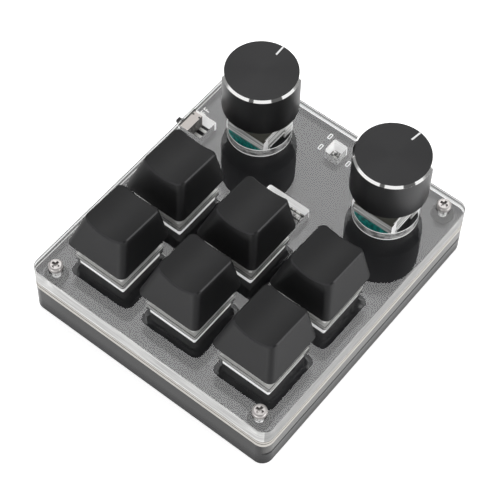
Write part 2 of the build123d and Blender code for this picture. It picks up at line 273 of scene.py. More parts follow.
def makeSky(look):
    sky = Finish("surround", bpy.data.worlds.new("surround"), "Generated")
    start, full, fade, stop = look["band"]
    screens = sky.ease(sky.z, start, full) * sky.ease(sky.z, fade, stop, 1, 0)
    bearing = sky.x.calc("ARCTAN2", sky.y, sky.x) * (180 / math.pi)
    strength = look["surround"] + (look["horizon"] - look["surround"]) * screens
    for middle, half in look["gaps"]:
        beside = abs(bearing - middle)
        strength = strength * sky.ease(beside, half, half + look["gapSoft"], look["gapShare"], 1)
    middle, half, low, high = look["panel"]
    aside, below, above = look["panelSoft"]
    panel = sky.ease(abs(bearing - middle), half, half + aside, 1, 0)
    panel = panel * sky.ease(sky.z, low - below, low) * sky.ease(sky.z, high, high + above, 1, 0)
    strength = strength.most(panel * look["panelPower"])
    backdrop = sky.node("ShaderNodeBackground", sockets={"Color": (1, 1, 1, 1), "Strength": strength})
    scene.world = sky.done(backdrop, "ShaderNodeOutputWorld")


def makeFloor(look):
    half = look["floorSize"] / 2
    mesh = bpy.data.meshes.new("floor")
    corners = [(-half, -half, 0), (half, -half, 0), (half, half, 0), (-half, half, 0)]
    mesh.from_pydata(corners, [], [(0, 1, 2, 3)])
    floor = bpy.data.objects.new("floor", mesh)
    paper = Finish("paper")
    mesh.materials.append(
        paper.done(
            paper.shader(
                Base_Color=look["floorColour"],
                Roughness=ranged(look["floorRough"], paper.grain(look["floorFibre"])),
                Emission_Color=(1, 1, 1),
                Emission_Strength=look["floorGlow"],
            )
        )
    )
    scene.collection.objects.link(floor)


def makeBoxes(look):
    for box in look["boxes"]:
        lamp = bpy.data.lights.new(box["name"], "AREA")
        lamp.shape = "RECTANGLE"
        lamp.size = box["wide"]
        lamp.size_y = box["tall"]
        lamp.energy = box["power"]
        holder = bpy.data.objects.new(box["name"], lamp)
        holder.location = box["at"]
        holder.rotation_euler = Vector(box["at"]).to_track_quat("Z", "Y").to_euler()
        scene.collection.objects.link(holder)


makeSky(tent)
makeFloor(tent)
makeBoxes(tent)
scene.view_settings.view_transform = "Standard"
print("tent and lights set")

# Clear plate: polished faces, and cut walls shown frosted, with painted bands of light and shade and a
# painted glow for the light piped through the plate; places of holes in millimetres
acrylic = {
    "tint": (0.985, 0.99, 0.99),
    "ior": 1.49,
    "haze": 9 * mm,
    "hazeRough": (0.002, 0.004),
    "cutWhite": (0.7, 0.7, 0.69),
    "cutRough": (0.28, 0.2),
    "cutBump": (0.02 * mm, 0.4),
    "streak": 0.3 * mm,
    "streakStretch": (0.03, 0.03, 1),
    "streakDetail": 3.0,
    "streakFade": (0.3, 0.7),
    "streakDark": 0.5,
    "deckFade": (0.8, 0.9),
    "wetted": 0.01,  # share of the height that counts as the underside
    "border": 1.0 * mm,
    "frontShare": 0.66,
    "farShare": 0.96,
    "leftPaintedBands": [(0, 0.5), (0.14, 0.0), (0.5, 1.0), (0.74, 0.05)],  # painted bands of light and shade: height, as a share, and the painted tone above it
    "backPaintedBands": [(0, 1.0), (0.3, 0.4), (0.5, 0.03), (0.7, 0.9), (0.82, 0.05)],
    # painted shade on the right wall
    "rightPaintedShade": 0.46,
    # heights, as shares, below which and above which the walls show painted highlight lines
    "rim": (0.14, 0.9),
    "rimShare": 0.95,
    # painted glow of the cut walls, standing in for light piped through the plate
    "glow": 0.6,
    "nearGlowShare": 0.25,
    "rimGlowShare": 0.8,
    "holeShare": 0.85,
    "knobHoles": [(-20.1, 28.45, 8.8), (20.1, 28.45, 8.8)],  # place and reach
    "nearSide": (0.6, -0.8),
    "nearShare": (0.2, 0.65),  # a hole's near wall, seen through the plate, is uneven
    "patch": 2.2 * mm,
    "patchFade": (0.35, 0.65),
    "windows": [(-32.5, 18.25, 5.4), (0, 9.9, 8.5)],
    "windowShare": 0.12,
    "lightWindow": [(0, 34.35, 3.5)],
    "screwHoles": (31.5, 37.1, 2.4),  # place in one quarter, and reach
    "speck": 0.45 * mm,
    "speckShare": (0.05, 0.75),
    "slot": (8.0, 5.0, 12.0),  # half width, front and back
    "slotShaded": 0.3,  # share of its height
    # painted shade low on the slot's walls
    "slotPaintedShade": 0.12,
}


def nearWalls(made, spots, side):  # the halves of these holes that lie nearest the front right
    near = 0.0
    for x, y, reach in spots:
        across = made.x - x * mm
        along = made.y - y * mm
        close = across * across + along * along < (reach * mm) ** 2
        near = (close * (side[0] * across + side[1] * along > 0)).most(near)
    return near


# adds painted bands of light and shade up a height
def stairs(level, paintedBands):
    total = paintedBands[0][1]
    for (start, paintedShade), (_, below) in zip(paintedBands[1:], paintedBands):
        total = total + (paintedShade - below) * (level > start)
    return total


def clearAcrylic(look):
    made = Finish("clear_acrylic")
    low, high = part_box("top_plate")
    clear = made.shader(
        Base_Color=look["tint"],
        Roughness=ranged(look["hazeRough"], made.grain(look["haze"])),
        IOR=look["ior"],
        Transmission_Weight=1.0,
    )
    level = (made.z - low.z) / (high.z - low.z)
    left = made.x < low.x + look["border"]
    back = made.y > high.y - look["border"]
    right = made.x > high.x - look["border"]
    front = right.most(made.y < low.y + look["border"])
    far = left.most(back)
    inside = 1 - far.most(front)
    nearKnob = nearWalls(made, look["knobHoles"], look["nearSide"])
    nearWindow = nearWalls(made, look["windows"], look["nearSide"])
    nearLight = nearWalls(made, look["lightWindow"], look["nearSide"])
    near = nearKnob.most(nearWindow).most(nearLight)
    streak = made.grain(look["streak"], look["streakStretch"], look["streakDetail"])
    banding = made.ease(streak, *look["streakFade"])
    # painted highlight lines at the top and bottom of the front walls and the knob holes' near walls
    rimHighlights = (level < look["rim"][0]).most(level > look["rim"][1])
    # painted glow on the far walls, the inner walls and the knob holes' rims
    glowing = far.most(inside * (1 + (look["nearGlowShare"] - 1) * near))
    glowing = glowing.most(rimHighlights * nearKnob * look["rimGlowShare"])
    # painted bands of light and shade on the left, back and right walls, and painted shade low in the slot
    paintedShade = 1 + left * (stairs(level, look["leftPaintedBands"]) - 1)
    paintedShade = paintedShade + back * (stairs(level, look["backPaintedBands"]) - paintedShade)
    paintedShade = paintedShade + right * (look["rightPaintedShade"] - paintedShade)
    half, start, stop = [size * mm for size in look["slot"]]
    bySlot = (abs(made.x) < half) * (made.y > start) * (made.y < stop)
    paintedShade = paintedShade + bySlot * (level < look["slotShaded"]) * (look["slotPaintedShade"] - paintedShade)
    cutTint = made.shaded(banding, look["cutWhite"], look["streakDark"])
    wall = made.shader(
        Base_Color=made.blend(paintedShade, (0, 0, 0), cutTint),
        Roughness=ranged(look["cutRough"], streak),
        IOR=look["ior"],
        Emission_Color=made.blend(glowing * paintedShade, (0, 0, 0), (1, 1, 1)),
        Emission_Strength=look["glow"],
        Normal=made.bump(streak, *look["cutBump"]),
    )
    uneven = made.ease(made.grain(look["patch"]), *look["patchFade"], *look["nearShare"])
    holes = look["holeShare"] + (uneven - look["holeShare"]) * nearKnob
    holes = holes + (look["windowShare"] - holes) * nearWindow
    across, along, reach = [size * mm for size in look["screwHoles"]]
    byScrew = (abs(abs(made.x) - across) < reach) * (abs(abs(made.y) - along) < reach)
    specks = made.ease(made.grain(look["speck"]), *look["patchFade"], *look["speckShare"])
    holes = holes + (specks - holes) * byScrew.most(nearLight)
    edges = rimHighlights * front.most(nearKnob) * look["rimShare"]
    outer = (front * look["frontShare"]).most(far * look["farShare"])
    walls = outer.most(inside * holes).most(edges)
    frost = walls * (1 - made.ease(made.facing(), *look["deckFade"]))
    sheet = made.mixed(frost, clear, wall)
    ray = made.node("ShaderNodeLightPath", output="Is Shadow Ray")
    # The underside is wet on the board, and light is let in
    through = (level < look["wetted"]).most(ray).most(ray.out("Is Diffuse Ray"))
    return made.done(made.mixed(through, sheet, made.node("ShaderNodeBsdfTransparent")))


dress(clearAcrylic(acrylic), "top_plate")

# Boards: black lacquered face above, pale laminate at the edges, thin foam between
laminate = {
    "colour": (0.42, 0.40, 0.37),
    "dark": 0.85,
    "grain": 0.25 * mm,
    "stretch": (1, 1, 0.2),
    "rough": (0.42, 0.2),
    "bump": (0.01 * mm, 0.5),
}
lacquer = {
    "colour": (0.03, 0.03, 0.032),
    "deckFade": (0.4, 0.6),
    "edgeRough": 0.5,
    "faceRough": 0.05,
    "wave": 6 * mm,
    "waveRough": 0.04,
    "specular": 0.25,
}
foam = {
    "colour": (0.02, 0.02, 0.021),
    "dark": 0.5,
    "grain": 0.2 * mm,
    "rough": (0.75, 0.15),
    "bump": (0.02 * mm, 0.6),
}


def skinned(name, look):  # one colour with a fine skin
    made = Finish(name)
    skin = made.grain(look["grain"], look.get("stretch", even))
    return made.done(
        made.shader(
            Base_Color=made.shaded(skin, look["colour"], look["dark"]),
            Metallic=look.get("metal", 0.0),
            Roughness=ranged(look["rough"], skin),
            Normal=made.bump(skin, *look["bump"]),
        )
    )


def keyBoard(look, edges):
    made = Finish("key_board_black")
    deck = made.ease(made.facing(), *look["deckFade"])
    fibre = made.grain(edges["grain"], edges["stretch"])
    edge = made.shaded(fibre, edges["colour"], edges["dark"])
    wave = look["waveRough"] * made.grain(look["wave"])
    return made.done(
        made.shader(
            Base_Color=made.blend(deck, edge, look["colour"]),
            Roughness=made.ease(deck, 0, 1, look["edgeRough"], look["faceRough"]) + wave,
            Specular_IOR_Level=look["specular"],
        )
    )


dress(keyBoard(lacquer, laminate), "key_board")
dress(skinned("board_pale", laminate), "main_board")
dress(skinned("gasket_black", foam), "board_gasket")

# Base: black acrylic with polished edges, on a rubber pad
base = {
    "black": (0.012, 0.012, 0.0125),
    "hazeTone": 1.6,
    "pale": (0.075, 0.074, 0.072),  # painted sheen: the right side made paler above the seam
    "cut": 0.6 * mm,
    "cutStretch": (1, 1, 0.06),
    "cutDetail": 3.0,
    "haze": 7 * mm,
    "rough": 0.08,
    "cutRough": 0.07,
    "hazeRough": 0.05,
    "ior": 1.49,
    "specular": 0.15,
    "bump": (0.006 * mm, 0.35),
    "dullRough": (0.5, 0.2),
    "dullSpecular": 0.05,
    "sideFade": (0.4, 0.9),
    "seam": (5.2 * mm, 6.1 * mm),  # dark line along the sides, duller below it
    "seamShare": 0.8,
    "lowFrom": 1.5 * mm,
    "lowShare": 0.42,
}
rubber = {
    "colour": (0.022, 0.022, 0.022),
    "dark": 0.7,
    "grain": 0.3 * mm,
    "rough": (0.7, 0.2),
    "bump": (0.03 * mm, 0.5),
}


def blackAcrylic(look):
    made = Finish("base_black")
    cut = made.grain(look["cut"], look["cutStretch"], look["cutDetail"])
    haze = made.grain(look["haze"])
    start, stop = look["seam"]
    toRight = made.toward((1, 0, 0))
    # painted sheen: right-facing sides paler above the seam
    upper = made.ease(toRight, *look["sideFade"]) * (made.z > stop)
    tint = made.blend(haze, look["black"], dim(look["black"], look["hazeTone"]))
    gloss = made.shader(
        Base_Color=made.blend(upper, tint, look["pale"]),
        Roughness=look["rough"] + look["cutRough"] * cut + look["hazeRough"] * haze,
        IOR=look["ior"],
        Specular_IOR_Level=look["specular"],
        Normal=made.bump(cut, *look["bump"]),
    )
    dull = made.shader(
        Base_Color=look["black"],
        Roughness=ranged(look["dullRough"], cut),
        Specular_IOR_Level=look["dullSpecular"],
    )
    sideways = made.ease(abs(toRight), *look["sideFade"])
    line = (made.z > start) * (made.z < stop) * sideways * look["seamShare"]
    lower = made.ease(made.z, look["lowFrom"], stop, look["lowShare"], 0.0)
    return made.done(made.mixed(line.most(lower), gloss, dull))


dress(blackAcrylic(base), "bottom_plate", "middle_frame")
dress(skinned("pad_rubber", rubber), "base_pad")
print("plates dressed")

# Key caps: fine matt black, with painted highlights along the top's front edge and right edge
caps = {
    "black": (0.008, 0.008, 0.0088),
    "dark": 0.88,
    "frontPaintedHighlight": (0.03, 0.03, 0.032),
    "rightPaintedHighlight": (0.06, 0.06, 0.062),
    "upFade": (0.5, 0.6),
    "rimFade": (0.3, 0.42),
    "spark": 0.16 * mm,
    "sparkDetail": 3.0,
    "patch": 5 * mm,
    "rough": 0.46,
    "sparkRough": 0.1,
    "patchRough": 0.06,
    "ior": 1.5,
    "specular": 0.29,
    "bump": (0.004 * mm, 0.5),
}


def offKey(made):  # how far a point lies to the right of and behind the middle of its key
    first, back, right = [sum(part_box(f"switch_lower_{n}"), Vector()) / 2 for n in (1, 2, 3)]
    across = (made.x - first.x) / (right.x - first.x)
    along = (made.y - first.y) / (back.y - first.y)
    across = (across - across.calc("ROUND", across)) * (right.x - first.x)
    along = (along - along.calc("ROUND", along)) * (back.y - first.y)
    return across, along


def capBlack(look):
    made = Finish("cap_black")
    spark = made.grain(look["spark"], detail=look["sparkDetail"])
    patch = made.grain(look["patch"])
    upward = made.ease(made.toward((0, 0, 1)), *look["upFade"])
    across, _ = offKey(made)
    # painted highlights: paler where the top turns to the front, and to the right on the cap's right half
    front = upward * made.ease(made.toward((0, -1, 0)), *look["rimFade"])
    right = upward * made.ease(made.toward((1, 0, 0)), *look["rimFade"]) * (across > 0)
    tint = made.shaded(patch, look["black"], look["dark"])
    tint = made.blend(front, tint, look["frontPaintedHighlight"])
    tint = made.blend(right, tint, look["rightPaintedHighlight"])
    return made.done(
        made.shader(
            Base_Color=tint,
            Roughness=look["rough"] + look["sparkRough"] * spark + look["patchRough"] * patch,
            IOR=look["ior"],
            Specular_IOR_Level=look["specular"],
            Normal=made.bump(spark, *look["bump"]),
        )
    )


dress(capBlack(caps), *each("keycap", keyNumbers))

# Ways of finishing that several parts share
mould = {"skin": 0.4 * mm, "cloud": 12, "dark": 0.9, "rough": (-0.05, 0.1), "bump": (0.006 * mm, 0.4)}
mottle = {"fade": (0.4, 0.6), "rough": 0.1, "bump": (0.01 * mm, 0.4)}
plating = {
    "brush": 0.15 * mm,
    "detail": 3.0,
    "cloud": 3 * mm,
    "dark": 0.85,
    "rough": (-0.04, 0.08),
    "cloudRough": 0.06,
    "bump": (0.002 * mm, 0.5),
}


def moulded(name, colour, rough, size=mould["skin"]):
    made = Finish(name)
    skin = made.grain(size)
    cloud = made.grain(mould["cloud"] * size)
    return made.done(
        made.shader(
            Base_Color=made.shaded(cloud, colour, mould["dark"]),
            Roughness=rough + ranged(mould["rough"], skin),
            Normal=made.bump(skin, *mould["bump"]),
        )
    )


def mottled(name, dark, pale, rough, size, stretch=even):
    made = Finish(name)
    patch = made.ease(made.grain(size, stretch), *mottle["fade"])
    return made.done(
        made.shader(
            Base_Color=made.blend(patch, dark, pale),
            Roughness=rough + mottle["rough"] * patch,
            Normal=made.bump(patch, *mottle["bump"]),
        )
    )


def plated(name, colour, rough, size=plating["brush"], stretch=even):
    made = Finish(name)
    brush = made.grain(size, stretch, plating["detail"])
    cloud = made.grain(plating["cloud"])
    return made.done(
        made.shader(
            Base_Color=made.shaded(cloud, colour, plating["dark"]),
            Metallic=1.0,
            Roughness=rough + ranged(plating["rough"], brush) + plating["cloudRough"] * cloud,
            Normal=made.bump(brush, *plating["bump"]),
        )
    )


# Key switches: white nylon below, milky shell above
switches = {
    "white": (0.8, 0.8, 0.78),
    "whiteRough": 0.32,
    "milk": (0.8, 0.8, 0.79),
    "milkRough": 0.22,
    "stem": (0.30, 0.06, 0.05),
    "stemRough": 0.38,
    "spring": (0.62, 0.60, 0.56),
    "springRough": 0.3,
    "seam": (7.46 * mm, 7.62 * mm),  # where the two shells meet on the flange
    "seamDark": (0.08, 0.08, 0.08),
    "deckFade": (0.75, 0.9),
    # height up the flange's walls, as a share, and the painted shade above it, with one painted light line
    "wallPaintedBands": [(0, 0.2), (0.3, 0.12), (0.45, 0.6), (0.8, 0.2), (1.02, 0.85)],
}


def switchShell(name, look, colour, rough):
    made = Finish(name)
    skin = made.grain(mould["skin"])
    deck = made.ease(made.facing(), *look["deckFade"])
    across, along = offKey(made)
    reach = abs(across).most(abs(along))
    start, stop = look["seam"]
    seam = (reach > start) * (reach < stop) * deck
    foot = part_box("top_plate")[1].z
    level = (made.z - foot) / (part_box("switch_lower_1")[1].z - foot)
    wall = (1 - deck) * (level > 0)
    # painted shade on the flange's walls, with a painted light line
    paintedShade = 1 + wall * (stairs(level, look["wallPaintedBands"]) - 1)
    tint = made.blend(paintedShade, (0, 0, 0), made.shaded(skin, colour, mould["dark"]))
    return made.done(
        made.shader(
            Base_Color=made.blend(seam, tint, look["seamDark"]),
            Roughness=rough + ranged(mould["rough"], skin),
            Normal=made.bump(skin, *mould["bump"]),
        )
    )


housingWhite = switchShell("housing_white", switches, switches["white"], switches["whiteRough"])
housingMilk = switchShell("housing_clear", switches, switches["milk"], switches["milkRough"])
dress(housingWhite, *each("switch_lower", keyNumbers))
dress(housingMilk, *each("switch_upper", keyNumbers))
dress(moulded("stem_plastic", switches["stem"], switches["stemRough"]), *each("key_stem", keyNumbers))
dress(plated("spring_steel", switches["spring"], switches["springRough"]), *each("key_spring", keyNumbers))
print("keys dressed")

# Knobs: black anodised metal, spun top, bright cut chamfer, white line
knobs = {
    "black": (0.016, 0.016, 0.0168),
    "dark": 0.8,
    "side": (0.03, 0.03, 0.031),
    "metal": 0.55,
    "rough": (0.33, 0.1),
    "specular": 0.3,
    "spin": 0.75,
    "bump": (0.002 * mm, 0.4),
    "ringPitch": 0.12 * mm,
    "ringDetail": 2.0,
    "drawn": 0.3 * mm,
    "drawnStretch": (0.05, 0.05, 1),
    "skim": 0.02 * mm,  # depth that counts as the top
    "chamfer": (0.54 * mm, 0.66 * mm),
    "bright": (0.93, 0.93, 0.92),
    "brightRough": (0.04, 0.05),
    "line": (0.9, 0.9, 0.9),
    "lineRough": 0.35,
    "lineSkin": 0.1 * mm,
}


def knobBlack(look, side):
    low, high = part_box(f"knob_{side}")
    middle = (low + high) / 2
    radius = (high.x - low.x) / 2
    made = Finish(f"knob_black_{side}")
    across = made.x - middle.x
    along = made.y - middle.y
    reach = (across * across + along * along) ** 0.5
    cutIn, cutDown = look["chamfer"]
    under = made.z < high.z - look["skim"]
    cutFace = (reach > radius - cutIn) * (made.z > high.z - cutDown) * under
    top = made.z > high.z - look["skim"]
    rings = made.node(
        "ShaderNodeTexNoise",
        {"noise_dimensions": "1D"},
        {"W": reach / look["ringPitch"], "Scale": 1.0, "Detail": look["ringDetail"]},
    )
    drawn = made.grain(look["drawn"], look["drawnStretch"])
    scratches = drawn + (rings - drawn) * top
    topTint = made.shaded(rings, look["black"], look["dark"])
    body = made.shader(
        Base_Color=made.blend(top, look["side"], topTint),
        Metallic=look["metal"],
        Roughness=ranged(look["rough"], scratches),
        Anisotropic=look["spin"],
        Specular_IOR_Level=look["specular"],
        Normal=made.bump(scratches, *look["bump"]),
    )
    cut = made.shader(
        Base_Color=look["bright"],
        Metallic=1.0,
        Roughness=ranged(look["brightRough"], scratches),
    )
    return made.done(made.mixed(cutFace, body, cut))


for side in sides:
    dress(knobBlack(knobs, side), f"knob_{side}")
pointerWhite = moulded("pointer_white", knobs["line"], knobs["lineRough"], knobs["lineSkin"])
dress(pointerWhite, *each("knob_pointer", sides))

# Encoders: plated cover over a teal base, turned shaft, white plunger
encoders = {
    "steel": (0.78, 0.78, 0.77),
    "steelMetal": 0.4,
    "steelRough": (0.3, 0.12),
    "steelBump": (0.003 * mm, 0.5),
    "brush": 0.2 * mm,
    "brushStretch": (1, 0.1, 1),
    "brushDetail": 3.0,
    "sheen": 0.7 * mm,
    "sheenStretch": (0.06, 0.06, 1),
    "sheenFade": (0.35, 0.65),
    "sheenDark": 0.42,
    "turnFade": (0.5, 0.7),
    # painted shade on the cover's deck, under the knob
    "deckPaintedShade": (0.10, 0.10, 0.085),
    # colour of the painted highlight
    "bright": (1.0, 1.0, 1.0),
    "tab": 1.9 * mm,  # painted highlight on the bent end of each cover's right wall, this long
    "glow": 0.12,  # painted glow, standing in for light passed on by the clear plate's cut walls
    "teal": (0.02, 0.42, 0.38),
    "tealDark": 0.4,
    "tealRough": (0.24, 0.12),
    "tealBump": (0.008 * mm, 0.4),
    "tealSkin": 0.3 * mm,
    "patch": 0.9 * mm,
    "patchDetail": 3.0,
    "patchFade": (0.42, 0.6),
    "sideFade": (0.4, 0.6),
    "sideDark": (0.01, 0.012, 0.012),
    "shaft": (0.58, 0.58, 0.59),
    "shaftRough": 0.24,
    "shaftBrush": 0.1 * mm,
    "shaftStretch": (0.1, 0.1, 1),
    "plunger": (0.8, 0.8, 0.78),
    "plungerRough": 0.35,
}


def encoderSteel(look):
    made = Finish("encoder_steel")
    brush = made.grain(look["brush"], look["brushStretch"], look["brushDetail"])
    deck = made.ease(made.facing(), *look["turnFade"])
    sheen = made.ease(made.grain(look["sheen"], look["sheenStretch"]), *look["sheenFade"])
    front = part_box("encoder_cover_left")[0].y
    # painted highlight on the bent end of the right wall
    tab = made.ease(made.toward((1, 0, 0)), *look["turnFade"]) * (made.y < front + look["tab"])
    tint = made.shaded(sheen, look["steel"], look["sheenDark"])
    tint = made.blend(tab, tint, look["bright"])
    # painted shade on the deck
    tint = made.blend(deck, tint, look["deckPaintedShade"])
    return made.done(
        made.shader(
            Base_Color=tint,
            Metallic=look["steelMetal"],
            Roughness=ranged(look["steelRough"], brush),
            # painted glow
            Emission_Color=tint,
            Emission_Strength=look["glow"],
            Normal=made.bump(brush, *look["steelBump"]),
        )
    )


def encoderTeal(look):
    made = Finish("encoder_teal")
    sideways = made.ease(abs(made.toward((1, 0, 0))), *look["sideFade"])
    skin = made.grain(look["tealSkin"])
    patch = made.ease(made.grain(look["patch"], detail=look["patchDetail"]), *look["patchFade"])
    tint = made.shaded(patch, look["teal"], look["tealDark"])
    return made.done(
        made.shader(
            Base_Color=made.blend(sideways, tint, look["sideDark"]),
            Roughness=ranged(look["tealRough"], skin),
            Normal=made.bump(skin, *look["tealBump"]),
        )
    )


def shaftSteel(look):
    return plated("shaft_steel", look["shaft"], look["shaftRough"], look["shaftBrush"], look["shaftStretch"])


dress(encoderTeal(encoders), *each("encoder_base", sides))
dress(encoderSteel(encoders), *each("encoder_cover", sides))
dress(shaftSteel(encoders), *each("encoder_shaft", sides))
plungerWhite = moulded("plunger_white", encoders["plunger"], encoders["plungerRough"])
dress(plungerWhite, *each("encoder_plunger", sides))
print("knobs dressed")

# Screws, posts and small parts
screws = {
    "colour": (0.5, 0.475, 0.465),
    "dark": 0.85,
    "metal": 0.6,
    "grain": 0.15 * mm,
    "rough": (0.3, 0.16),
    "bump": (0.01 * mm, 0.6),
}
slideCase = {
    "tin": (0.74, 0.68, 0.64),
    "rough": 0.38,
    "shade": (0.04, 0.04, 0.04),  # painted shade on the case's wall in the notch
    "shadePale": (0.2, 0.19, 0.18),
    "patch": 0.8 * mm,
    "turnFade": (0.5, 0.7),
}
connector = {
    "dark": (0.05, 0.05, 0.05),
    "pale": (0.85, 0.85, 0.82),
    "rough": 0.36,
    "size": 0.9 * mm,
    "stretch": (1, 0.3, 0.3),
}
socket = {"colour": (0.66, 0.66, 0.66), "rough": 0.24, "size": 0.2 * mm, "stretch": (0.15, 1, 1)}
battery = {"colour": (0.7, 0.7, 0.72), "rough": 0.4}
mouldedParts = [  # node, material, colour, roughness
    ("screw_standoffs", "standoff_black", (0.003, 0.003, 0.003), 0.85),
    ("slide_switch_base", "switch_base_pale", (0.85, 0.85, 0.82), 0.4),
    ("slide_lever", "lever_black", (0.004, 0.004, 0.004), 0.6),
    ("status_light", "light_white", (0.85, 0.85, 0.82), 0.3),
    ("controller_module", "module_green", (0.01, 0.09, 0.03), 0.3),
]


def caseSteel(look):
    made = Finish("case_steel")
    skin = made.grain(mould["skin"])
    patch = made.ease(made.grain(look["patch"]), *mottle["fade"])
    tint = made.shaded(skin, look["tin"], mould["dark"])
    bent = made.ease(made.toward((1, 0, 0)), *look["turnFade"])
    return made.done(
        made.shader(
            Base_Color=made.blend(bent, tint, made.blend(patch, look["shade"], look["shadePale"])),
            Roughness=look["rough"] + ranged(mould["rough"], skin),
            Normal=made.bump(skin, *mould["bump"]),
        )
    )


dress(skinned("screw_steel", screws), "plate_screws")
dress(caseSteel(slideCase), "slide_switch_case")
dress(mottled("connector_white", **connector), "board_connector")
dress(plated("socket_steel", **socket), "usb_socket")
dress(plated("battery_foil", **battery), "battery_cell")
for node, name, colour, rough in mouldedParts:
    dress(moulded(name, colour, rough), node)
print("small parts dressed")


def addPiece(name, shape, body, slot, material, *replaced):
    mesh = bpy.data.meshes.new(name)
    shape.to_mesh(mesh)
    shape.free()
    mesh.materials.append(material)
    piece = bpy.data.objects.new(name, mesh)
    scene.collection.objects.link(piece)
    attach(piece, body)
    if replaced:
        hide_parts(*replaced)


def flat(u, v, w):
    return (u, v, w)


def alongDepth(u, v, w):  # an outline in X and Z, drawn out along Y
    return (u, -w, v)


def addLoops(shape, loops, closed=False):  # skin over loops of points, each wound the same way
    rows = [[shape.verts.new(point) for point in loop] for loop in loops]
    pairs = list(zip(rows, rows[1:]))
    if closed:
        pairs.append((rows[-1], rows[0]))
    else:
        shape.faces.new(reversed(rows[0]))
        shape.faces.new(rows[-1])
    for first, second in pairs:
        for i in range(len(first)):
            j = (i + 1) % len(first)
            shape.faces.new((first[i], first[j], second[j], second[i]))


def addPrism(shape, outline, low, high, place=flat):
    addLoops(shape, [[place(u, v, w) for u, v in outline] for w in (low, high)])


def addRing(shape, outer, inner, low, high):
    order = ((outer, low), (outer, high), (inner, high), (inner, low))
    addLoops(shape, [[(u, v, w) for u, v in line] for line, w in order], True)


def roundedOutline(middle, width, depth, radius, steps=4):
    points = []
    for quarter, (right, back) in enumerate(((1, 1), (-1, 1), (-1, -1), (1, -1))):
        for step in range(steps + 1):
            angle = math.pi / 2 * (quarter + step / steps)
            across = right * (width / 2 - radius) + radius * math.cos(angle)
            along = back * (depth / 2 - radius) + radius * math.sin(angle)
            points.append((middle[0] + across, middle[1] + along))
    return points


# Marks printed on the board, in millimetres: outlines by the light, and the word by the slide switch
marks = {
    "height": 0.03,
    "outlines": [(-4.72, 38.41), (-4.66, 34.21), (4.04, 34.31)],
    "outlineSize": (0.98, 1.9),
    "outlineRadius": 0.35,
    "stroke": 0.3,
    "tick": (-0.44, 32.3),
    "tickSize": (0.24, 0.85),
    "tickRadius": 0.1,
    "wordFoot": -33.86,
    "wordHeight": 1.84,
    "letterO": (22.36, 0.95),
    "letterRadius": 0.45,
    "stems": [23.28, 24.5],
    "arms": (0.85, 0.7),
    "lowerArm": 0.45,  # its height, as a share of the letter's
    "ink": (0.88, 0.88, 0.88),
    "inkRough": 0.5,
}


def printMarks(look):
    shape = bmesh.new()
    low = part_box("key_board")[1].z
    high = low + look["height"] * mm
    stroke = look["stroke"]
    tall = look["wordHeight"]
    rings = [(spot, look["outlineSize"], look["outlineRadius"]) for spot in look["outlines"]]
    middle, wide = look["letterO"]
    rings.append(((look["wordFoot"] - tall / 2, middle), (tall, wide), look["letterRadius"]))
    for spot, (width, depth), radius in rings:
        outer = roundedOutline(spot, width, depth, radius)
        inner = roundedOutline(spot, width - 2 * stroke, depth - 2 * stroke, radius - stroke)
        scaled = [[(u * mm, v * mm) for u, v in line] for line in (outer, inner)]
        addRing(shape, *scaled, low, high)
    tick = roundedOutline(look["tick"], *look["tickSize"], look["tickRadius"])
    addPrism(shape, [(u * mm, v * mm) for u, v in tick], low, high)
    upper, lower = look["arms"]
    half = look["lowerArm"] * tall
    letterF = [
        (0, 0),
        (stroke, 0),
        (stroke, half),
        (lower, half),
        (lower, half + stroke),
        (stroke, half + stroke),
        (stroke, tall - stroke),
        (upper, tall - stroke),
        (upper, tall),
        (0, tall),
    ]
    for stem in look["stems"]:
        turned = [((look["wordFoot"] - v) * mm, (stem + u) * mm) for u, v in letterF]
        addPrism(shape, turned, low, high)
    ink = moulded("print_white", look["ink"], look["inkRough"])
    addPiece("printed_marks", shape, "case", "pointer_white", ink)


printMarks(marks)

# Status light: a low white cup with one cut corner, a milky lens and tinned feet
light = {
    "cup": {"dark": (0.08, 0.08, 0.08), "pale": (0.75, 0.75, 0.73), "rough": 0.35, "size": 0.6 * mm},
    "lens": {"dark": (0.08, 0.08, 0.08), "pale": (0.5, 0.5, 0.47), "rough": 0.18, "size": 0.8 * mm},
    "tin": {"colour": (0.42, 0.41, 0.39), "rough": 0.3},
    "cut": 0.3 * mm,
    "edge": 0.12 * mm,
    "topShare": 0.94,
    "well": 1.3 * mm,
    "wellDeep": 0.2 * mm,
    "lensShare": 0.97,
    "lensRise": 0.18 * mm,
    "lensSteps": 5,
    "lensSides": 20,
    "foot": (0.9 * mm, 0.5 * mm, 0.25 * mm),
    "footRadius": 0.1 * mm,
    "footOver": 1.2,
    "footInset": 0.75 * mm,
}


def lightCup(look, low, high):
    middle = (low + high) / 2
    top = high.z
    cut = look["cut"]
    side = [
        (high.x, low.y),
        (high.x, middle.y),
        (high.x, high.y),
        (middle.x, high.y),
        (low.x + cut, high.y),
        (low.x, high.y - cut),
        (low.x, middle.y),
        (low.x, low.y),
        (middle.x, low.y),
    ]
    share = look["topShare"]
    shrunk = [(middle.x + (x - middle.x) * share, middle.y + (y - middle.y) * share) for x, y in side]
    turns = [math.atan2(y - middle.y, x - middle.x) for x, y in side]
    rim = [(middle.x + look["well"] * math.cos(a), middle.y + look["well"] * math.sin(a)) for a in turns]
    levels = [
        (side, low.z),
        (side, top - look["edge"]),
        (shrunk, top),
        (rim, top),
        (rim, top - look["wellDeep"]),
    ]
    shape = bmesh.new()
    addLoops(shape, [[(x, y, z) for x, y in line] for line, z in levels])
    white = mottled("light_cup", **look["cup"])
    addPiece("status_light_cup", shape, "case", "light_white", white, "status_light")


